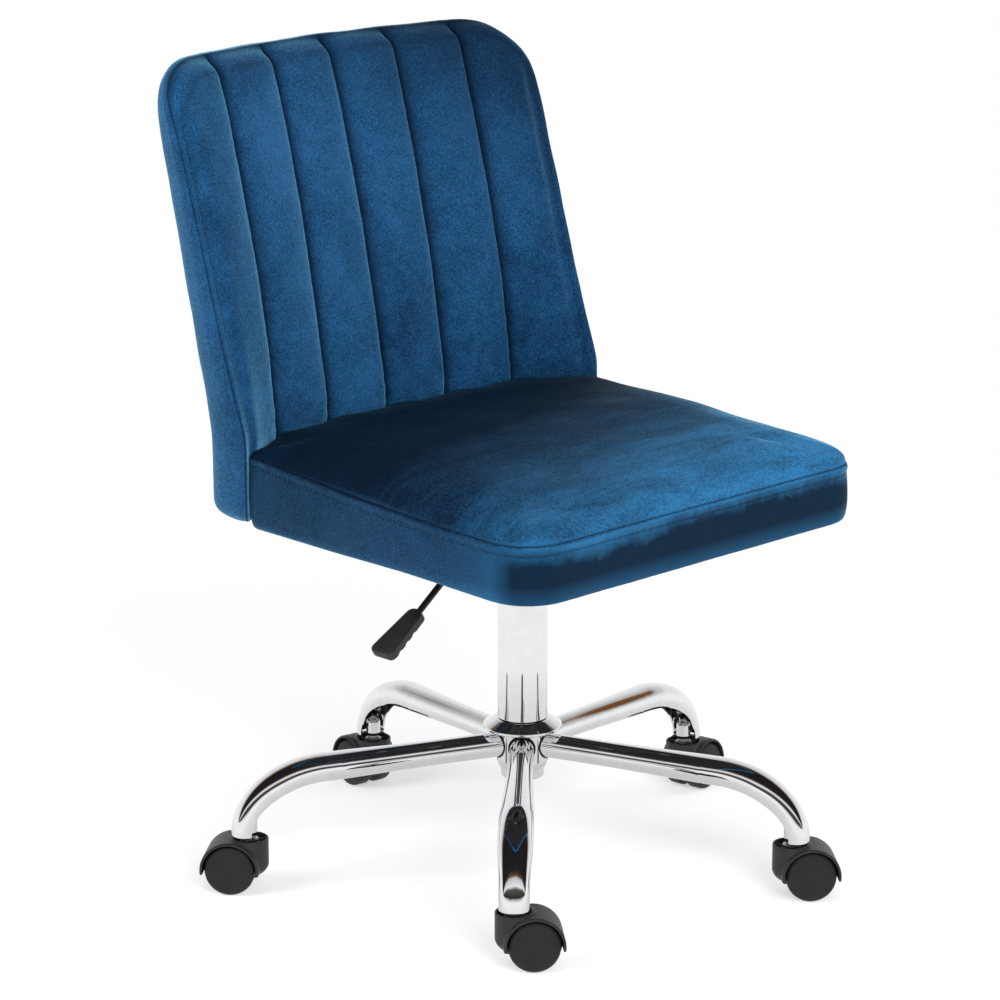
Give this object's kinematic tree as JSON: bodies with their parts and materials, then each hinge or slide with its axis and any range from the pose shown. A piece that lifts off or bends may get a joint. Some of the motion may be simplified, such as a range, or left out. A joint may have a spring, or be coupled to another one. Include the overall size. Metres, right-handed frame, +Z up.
{
  "type": "swivel office chair",
  "caption": "Armless swivel office chair: channelled velvet seat and back on a chromed gas-lift column, a bent-tube star base with twin-wheel casters, and a height lever under the seat.",
  "frame": {"origin": "on the floor under the centre of the whole chair's bounding box", "axes": "+Z up, the sitter facing -Y, the sitter's left towards +X"},
  "size_m": [0.6218, 0.627, 0.811],
  "materials": {
    "chrome": "polished chrome plating",
    "steel": "bright zinc-plated steel",
    "black_steel": "satin black powder coat",
    "hood_plastic": "fine-textured black moulding",
    "wheel_plastic": "smooth black nylon",
    "paddle_plastic": "satin black moulding",
    "bushing_plastic": "plain black acetal",
    "velvet": "short-pile blue velvet",
    "dust_cloth": "black non-woven cloth",
    "plywood": "bare plywood"
  },
  "bodies": {
    "base": {"base_hub": "chrome", "leg_1": "chrome", "leg_2": "chrome", "leg_3": "chrome", "leg_4": "chrome", "leg_5": "chrome", "stem_socket_1": "chrome", "stem_socket_2": "chrome", "stem_socket_3": "chrome", "stem_socket_4": "chrome", "stem_socket_5": "chrome", "caster_stem_1": "steel", "caster_stem_2": "steel", "caster_stem_3": "steel", "caster_stem_4": "steel", "caster_stem_5": "steel", "lift_outer_tube": "chrome", "lift_guide_bushing": "bushing_plastic", "lift_thrust_bearing": "steel"},
    "lift_rod": {"lift_piston_rod": "steel", "lift_retaining_clip": "steel"},
    "seat": {"lift_pressure_tube": "black_steel", "mechanism_plate": "black_steel", "taper_socket": "black_steel", "plate_bolt_1": "steel", "plate_bolt_2": "steel", "plate_bolt_3": "steel", "plate_bolt_4": "steel", "lever_pivot_pin": "steel", "seat_board": "plywood", "dust_cover": "dust_cloth", "seat_cushion": "velvet", "back_panel": "plywood", "back_cushion": "velvet", "back_rear_cover": "velvet", "back_bracket_left": "black_steel", "back_bracket_right": "black_steel"},
    "lever": {"lever_rod": "black_steel", "lever_paddle": "paddle_plastic"},
    "button": {"release_button": "steel"},
    "caster_1": {"caster_hood_1": "hood_plastic", "caster_axle_1": "steel"},
    "wheel_1_left": {"caster_wheel_1_left": "wheel_plastic"},
    "wheel_1_right": {"caster_wheel_1_right": "wheel_plastic"},
    "caster_2": {"caster_hood_2": "hood_plastic", "caster_axle_2": "steel"},
    "wheel_2_left": {"caster_wheel_2_left": "wheel_plastic"},
    "wheel_2_right": {"caster_wheel_2_right": "wheel_plastic"},
    "caster_3": {"caster_hood_3": "hood_plastic", "caster_axle_3": "steel"},
    "wheel_3_left": {"caster_wheel_3_left": "wheel_plastic"},
    "wheel_3_right": {"caster_wheel_3_right": "wheel_plastic"},
    "caster_4": {"caster_hood_4": "hood_plastic", "caster_axle_4": "steel"},
    "wheel_4_left": {"caster_wheel_4_left": "wheel_plastic"},
    "wheel_4_right": {"caster_wheel_4_right": "wheel_plastic"},
    "caster_5": {"caster_hood_5": "hood_plastic", "caster_axle_5": "steel"},
    "wheel_5_left": {"caster_wheel_5_left": "wheel_plastic"},
    "wheel_5_right": {"caster_wheel_5_right": "wheel_plastic"}
  },
  "joints": [
    {"name": "seat_swivel", "type": "hinge", "parent": "base", "child": "lift_rod", "pos_m": [-0.01764, -0.01266, 0.1], "axis": [0, 0, 1], "continuous": true},
    {"name": "seat_height", "type": "slide", "parent": "lift_rod", "child": "seat", "axis": [0, 0, 1], "range_m": [0, 0.1]},
    {"name": "lever_pull", "type": "hinge", "parent": "seat", "child": "lever", "pos_m": [-0.04564, -0.01266, 0.3476], "axis": [0, 1, 0], "range_deg": [0, 8], "stiffness_Nm_per_rad": 0.8, "springref_deg": -5.73},
    {"name": "button_press", "type": "slide", "parent": "seat", "child": "button", "axis": [0, 0, -1], "range_m": [0, 0.004]},
    {"name": "caster_swivel_1", "type": "hinge", "parent": "base", "child": "caster_1", "pos_m": [-0.22144, -0.20539, 0.05], "axis": [0, 0, 1], "continuous": true},
    {"name": "wheel_roll_1_left", "type": "hinge", "parent": "caster_1", "child": "wheel_1_left", "pos_m": [-0.20766, -0.21696, 0.025], "axis": [0.6428, 0.766, 0], "continuous": true},
    {"name": "wheel_roll_1_right", "type": "hinge", "parent": "caster_1", "child": "wheel_1_right", "pos_m": [-0.20766, -0.21696, 0.025], "axis": [0.6428, 0.766, 0], "continuous": true},
    {"name": "caster_swivel_2", "type": "hinge", "parent": "base", "child": "caster_2", "pos_m": [0.10268, -0.26605, 0.05], "axis": [0, 0, 1], "continuous": true},
    {"name": "wheel_roll_2_left", "type": "hinge", "parent": "caster_2", "child": "wheel_2_left", "pos_m": [0.11647, -0.27762, 0.025], "axis": [0.6428, 0.766, 0], "continuous": true},
    {"name": "wheel_roll_2_right", "type": "hinge", "parent": "caster_2", "child": "wheel_2_right", "pos_m": [0.11647, -0.27762, 0.025], "axis": [0.6428, 0.766, 0], "continuous": true},
    {"name": "caster_swivel_3", "type": "hinge", "parent": "base", "child": "caster_3", "pos_m": [0.26052, 0.02347, 0.05], "axis": [0, 0, 1], "continuous": true},
    {"name": "wheel_roll_3_left", "type": "hinge", "parent": "caster_3", "child": "wheel_3_left", "pos_m": [0.2783, 0.02628, 0.025], "axis": [-0.1564, 0.9877, 0], "continuous": true},
    {"name": "wheel_roll_3_right", "type": "hinge", "parent": "caster_3", "child": "wheel_3_right", "pos_m": [0.2783, 0.02628, 0.025], "axis": [-0.1564, 0.9877, 0], "continuous": true},
    {"name": "caster_swivel_4", "type": "hinge", "parent": "base", "child": "caster_4", "pos_m": [0.03396, 0.26305, 0.05], "axis": [0, 0, 1], "continuous": true},
    {"name": "wheel_roll_4_left", "type": "hinge", "parent": "caster_4", "child": "wheel_4_left", "pos_m": [0.03678, 0.28083, 0.025], "axis": [-0.9877, 0.1564, 0], "continuous": true},
    {"name": "wheel_roll_4_right", "type": "hinge", "parent": "caster_4", "child": "wheel_4_right", "pos_m": [0.03678, 0.28083, 0.025], "axis": [-0.9877, 0.1564, 0], "continuous": true},
    {"name": "caster_swivel_5", "type": "hinge", "parent": "base", "child": "caster_5", "pos_m": [-0.26391, 0.12161, 0.05], "axis": [0, 0, 1], "continuous": true},
    {"name": "wheel_roll_5_left", "type": "hinge", "parent": "caster_5", "child": "wheel_5_left", "pos_m": [-0.27524, 0.1356, 0.025], "axis": [-0.7771, -0.6293, 0], "continuous": true},
    {"name": "wheel_roll_5_right", "type": "hinge", "parent": "caster_5", "child": "wheel_5_right", "pos_m": [-0.27524, 0.1356, 0.025], "axis": [-0.7771, -0.6293, 0], "continuous": true}
  ],
  "couplings": [
    {"joint": "button_press", "follows": "lever_pull", "m_per_rad": 0.028}
  ]
}
